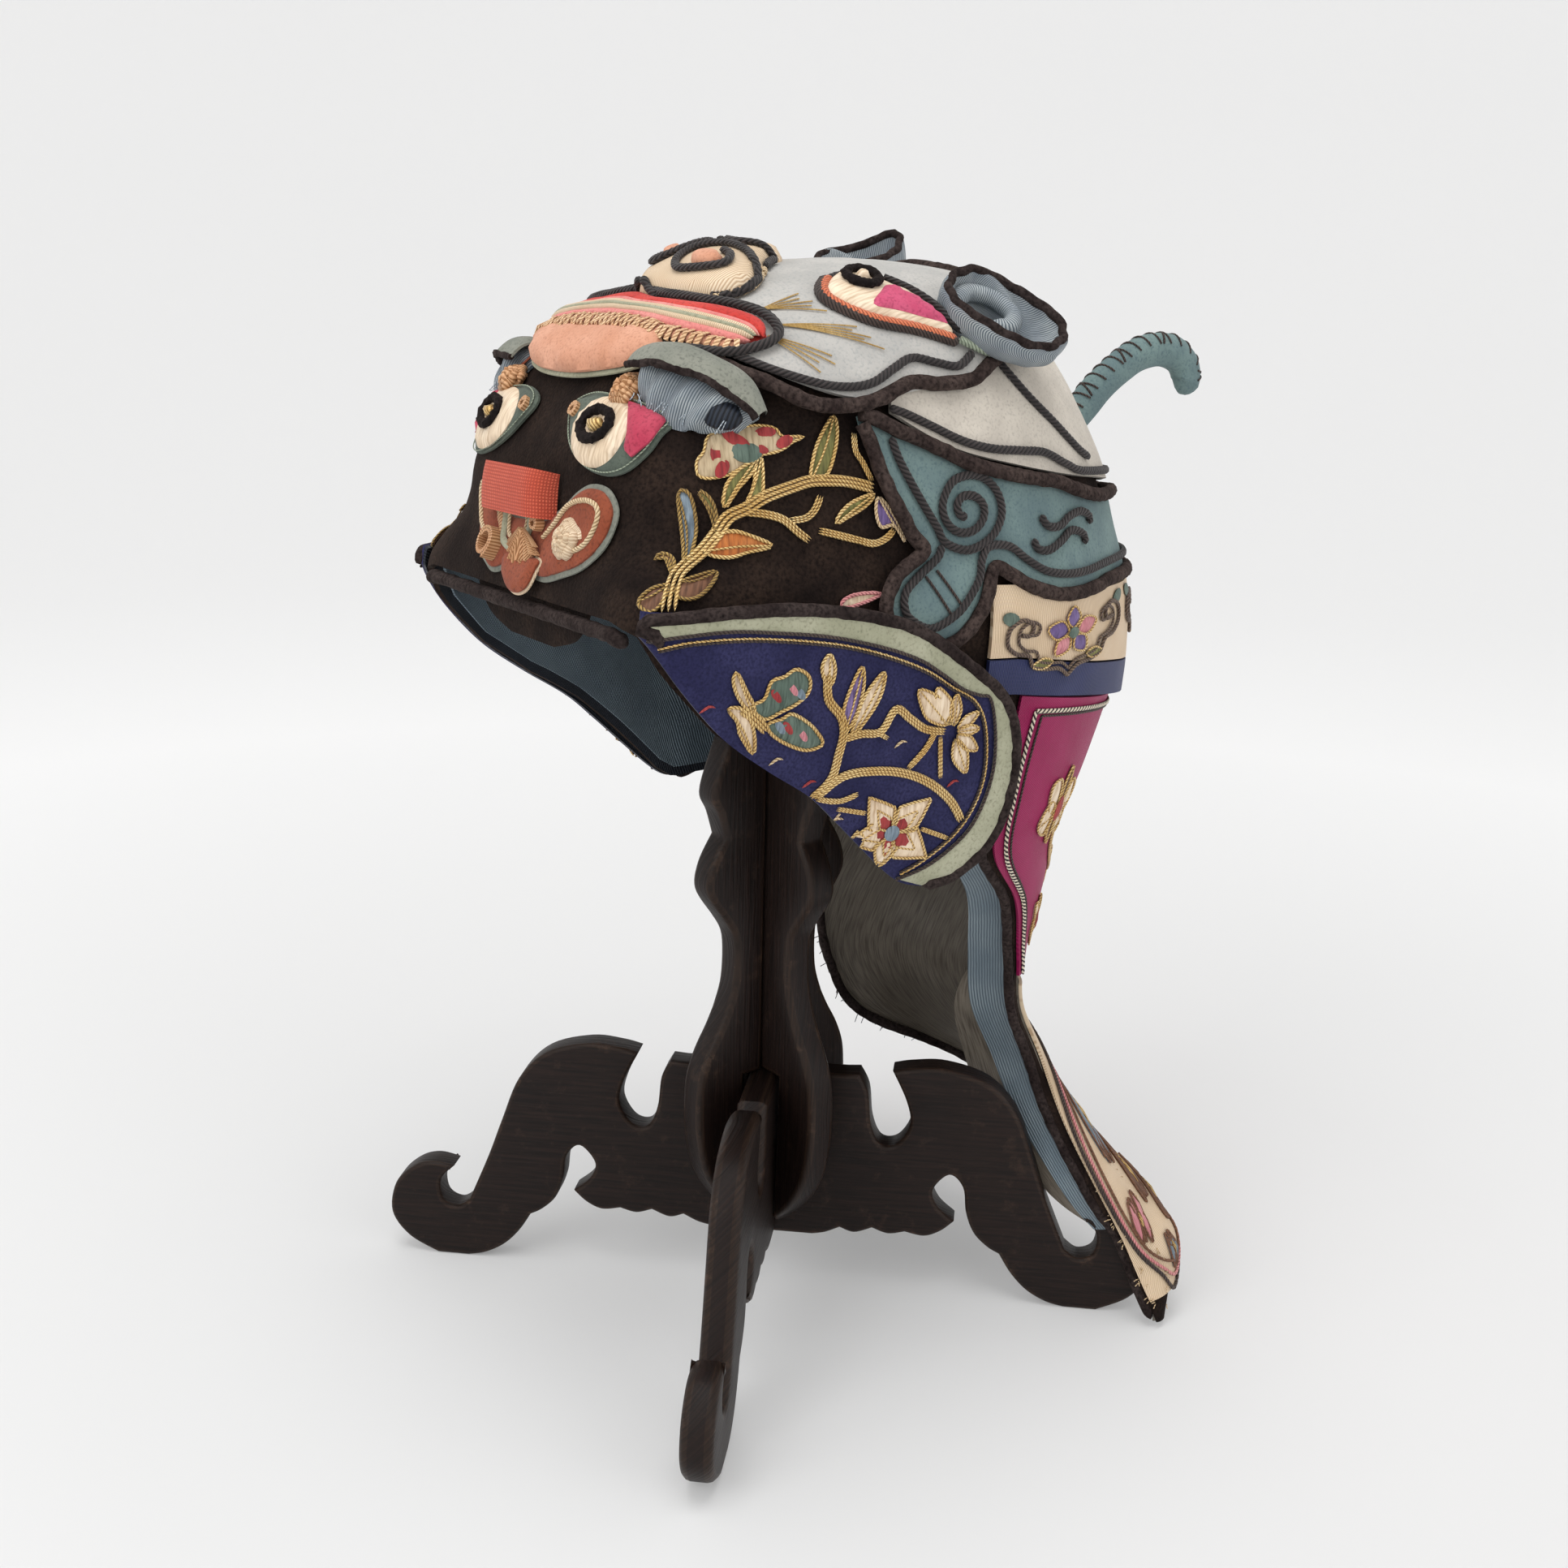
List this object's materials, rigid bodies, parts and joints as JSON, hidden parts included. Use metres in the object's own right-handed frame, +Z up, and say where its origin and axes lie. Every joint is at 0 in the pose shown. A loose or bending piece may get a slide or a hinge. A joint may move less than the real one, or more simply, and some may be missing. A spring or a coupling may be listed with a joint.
{
  "type": "tiger hat on a wooden hat stand",
  "caption": "Child's padded velvet hood shaped as a tiger, with turned-back ear flaps and a long nape cape, standing on a carved cross-board wooden hat stand",
  "frame": {"origin": "middle of the bounding box, on the floor under the stand's feet", "axes": "+Z up, the tiger looks along -Y, +X is the wearer's left side"},
  "size_m": [0.1894, 0.252, 0.3121],
  "materials": {
    "dark_wood": "worn dark polish",
    "black_velvet": "worn pile",
    "blue_silk": "ribbed weave",
    "teal_felt": "matt felt",
    "grey_cotton": "matt cotton",
    "peach_felt": "matt felt",
    "coral_linen": "plain linen weave",
    "rust_felt": "matt felt",
    "cream_silk": "embroidered silk",
    "navy_silk": "silk weave",
    "purple_silk": "silk weave",
    "magenta_silk": "silk satin",
    "brown_silk": "thin silk"
  },
  "bodies": {
    "root": {"leg_board_lower": "dark_wood", "leg_board_upper": "dark_wood", "post_board_upper": "dark_wood", "post_board_lower": "dark_wood", "hat_rest": "dark_wood", "crown": "black_velvet", "crown_lining": "blue_silk", "brim_piping": "black_velvet", "brim_facing": "black_velvet", "ear_flap_left": "purple_silk", "haunch_left": "teal_felt", "cape_binding_left": "black_velvet", "ear_flap_right": "purple_silk", "haunch_right": "teal_felt", "cape_binding_right": "black_velvet", "cream_band": "cream_silk", "navy_band": "navy_silk", "saddle_panel": "grey_cotton", "face_panel": "grey_cotton", "nape_cape": "brown_silk", "magenta_panel": "magenta_silk", "cape_leaf": "cream_silk", "tail": "teal_felt", "tongue": "peach_felt", "mouth": "rust_felt", "nose": "cream_silk", "small_nose": "coral_linen", "small_mouth": "rust_felt", "small_tongue": "peach_felt", "eye_left": "cream_silk", "small_eye_left": "cream_silk", "small_ear_left": "blue_silk", "ear_left": "blue_silk", "eye_right": "cream_silk", "small_eye_right": "cream_silk", "small_ear_right": "blue_silk", "ear_right": "blue_silk"}
  },
  "joints": []
}
